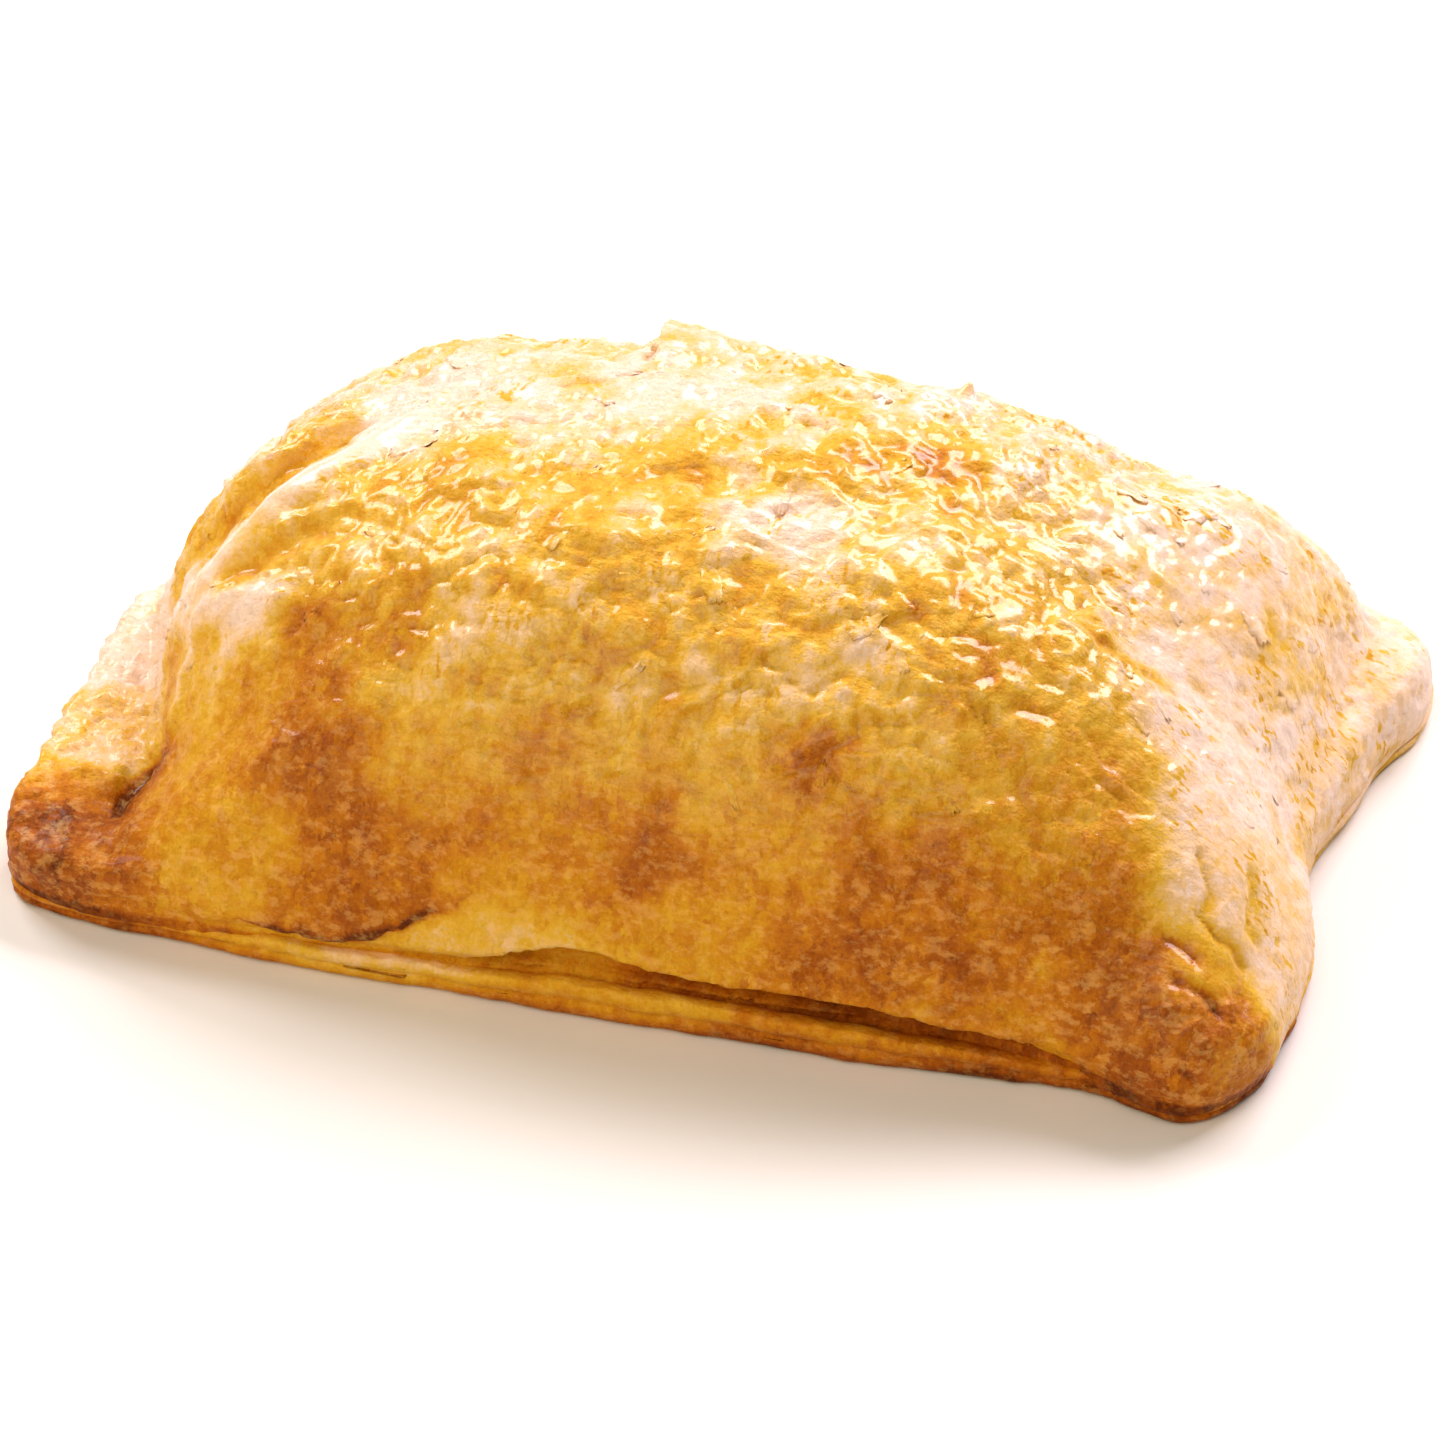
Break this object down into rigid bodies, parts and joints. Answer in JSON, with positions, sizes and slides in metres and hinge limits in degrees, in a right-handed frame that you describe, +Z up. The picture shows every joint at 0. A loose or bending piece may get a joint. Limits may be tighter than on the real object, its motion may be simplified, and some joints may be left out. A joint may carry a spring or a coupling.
{
  "type": "mini creamy chicken pie",
  "caption": "Small rectangular puff pastry pie with a domed golden crust, pressed edges and flaky corners, baked shut.",
  "frame": {"origin": "under the middle of the pie, on the surface that it stands on", "axes": "+X along the pie's length, +Y from its front edge to its back edge, +Z up"},
  "size_m": [0.0942, 0.0578, 0.0299],
  "materials": {
    "baked_crust": "egg-washed puff pastry, golden with browned patches and pale flakes, softly glossy"
  },
  "bodies": {
    "root": {"pie": "baked_crust"}
  },
  "joints": []
}
